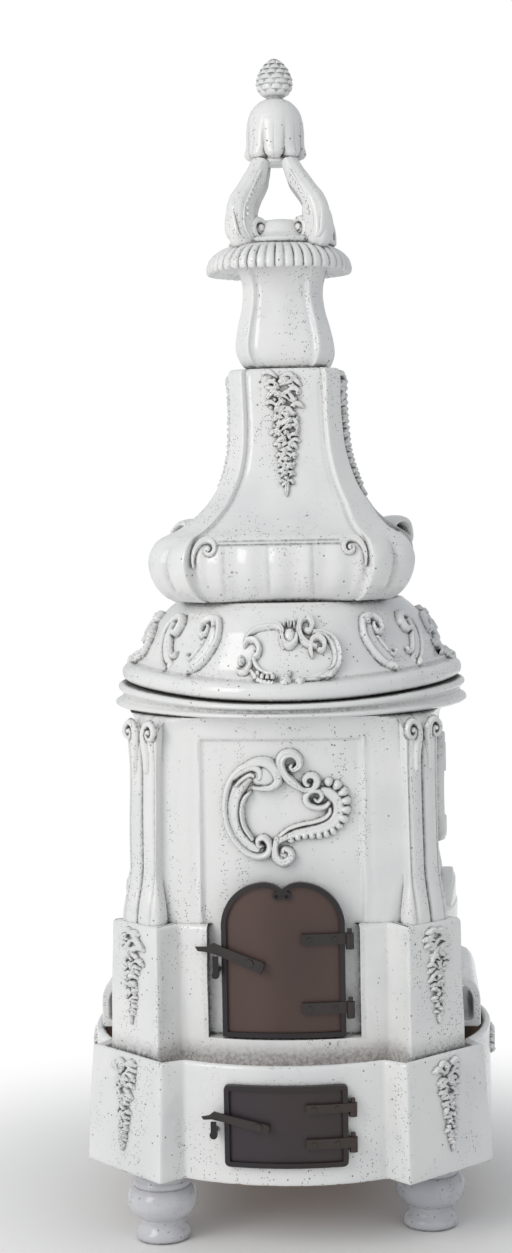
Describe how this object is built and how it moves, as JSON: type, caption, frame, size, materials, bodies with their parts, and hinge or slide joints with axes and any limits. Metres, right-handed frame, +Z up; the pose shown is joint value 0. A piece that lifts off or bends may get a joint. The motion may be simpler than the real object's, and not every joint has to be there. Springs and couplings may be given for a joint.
{
  "type": "tiled stove",
  "caption": "Tall white-glazed rococo tiled stove of stacked ceramic tiers, with hinged iron fire and ash doors, firebrick chamber, grate and rear flue collar.",
  "frame": {"origin": "floor level under the stove's vertical axis, centre of the bounding box's bottom", "axes": "+Z up through the finial; the doors face -Y; +X to the right seen from the front"},
  "size_m": [0.788, 0.8162, 2.2],
  "materials": {
    "white_glaze": "off-white tin glaze, glossy, with dark pinholes and grime in the relief",
    "grey_glaze": "bluish grey-white glossy glaze",
    "fired_clay": "unglazed terracotta firebrick, matte",
    "door_plate": "dark brown sheet iron with rust bloom",
    "forged_iron": "forged black iron, worn edges",
    "cast_grate": "burnt cast iron",
    "sheet_iron": "blued sheet steel, dull"
  },
  "bodies": {
    "stove": {"ash_door_frame": "forged_iron", "ash_door_keeper": "forged_iron", "ash_door_pintles": "forged_iron", "ash_pan": "sheet_iron", "ash_pit_bricks": "fired_clay", "cartouche_front": "white_glaze", "cartouche_left": "white_glaze", "cartouche_right": "white_glaze", "crest_left": "white_glaze", "crest_rear": "white_glaze", "crest_right": "white_glaze", "crown_arms": "white_glaze", "finial_bell": "white_glaze", "finial_pine_cone": "white_glaze", "fire_door_frame": "forged_iron", "fire_door_keeper": "forged_iron", "fire_door_pintles": "forged_iron", "fire_grate": "cast_grate", "firebrick_lining": "fired_clay", "flue_collar": "sheet_iron", "foot_front_left": "grey_glaze", "foot_front_right": "grey_glaze", "foot_rear_left": "grey_glaze", "foot_rear_right": "grey_glaze", "frieze_cartouches": "white_glaze", "frieze_ring": "white_glaze", "frieze_scrolls": "white_glaze", "gadrooned_rim": "white_glaze", "grate_deck": "fired_clay", "lower_body_shell": "white_glaze", "lower_leaf_drops": "white_glaze", "neck_garlands": "white_glaze", "neck_tower": "white_glaze", "plinth_floor_slab": "fired_clay", "plinth_leaf_drops": "white_glaze", "plinth_shell": "white_glaze", "plinth_side_shells": "white_glaze", "side_casing_left": "white_glaze", "side_casing_right": "white_glaze", "smoke_baffle": "fired_clay", "upper_body_front": "white_glaze", "upper_body_left": "white_glaze", "upper_body_rear": "white_glaze", "upper_body_right": "white_glaze", "upper_cornice": "white_glaze", "vase_pedestal": "white_glaze"},
    "fire_door": {"fire_door_latch_rivet": "forged_iron", "fire_door_leaf": "door_plate", "fire_door_rim": "forged_iron", "fire_door_strap_rivets": "forged_iron", "fire_door_straps": "forged_iron"},
    "fire_latch": {"fire_door_latch": "forged_iron"},
    "ash_door": {"ash_door_latch_rivet": "forged_iron", "ash_door_leaf": "door_plate", "ash_door_rim": "forged_iron", "ash_door_strap_rivets": "forged_iron", "ash_door_straps": "forged_iron"},
    "ash_latch": {"ash_door_latch": "forged_iron"}
  },
  "joints": [
    {"name": "fire_door_hinge", "type": "hinge", "parent": "stove", "child": "fire_door", "pos_m": [0.121, -0.307, 0.5], "axis": [0, 0, 1], "range_deg": [0, 110]},
    {"name": "fire_latch_pivot", "type": "hinge", "parent": "fire_door", "child": "fire_latch", "pos_m": [-0.059, -0.31207, 0.523], "axis": [0.1326, 0.9912, 0], "range_deg": [-20, 40]},
    {"name": "ash_door_hinge", "type": "hinge", "parent": "stove", "child": "ash_door", "pos_m": [0.124, -0.3735, 0.24], "axis": [0, 0, 1], "range_deg": [0, 110]},
    {"name": "ash_latch_pivot", "type": "hinge", "parent": "ash_door", "child": "ash_latch", "pos_m": [-0.043, -0.38755, 0.245], "axis": [0.1042, 0.9946, 0], "range_deg": [-12, 45]}
  ]
}
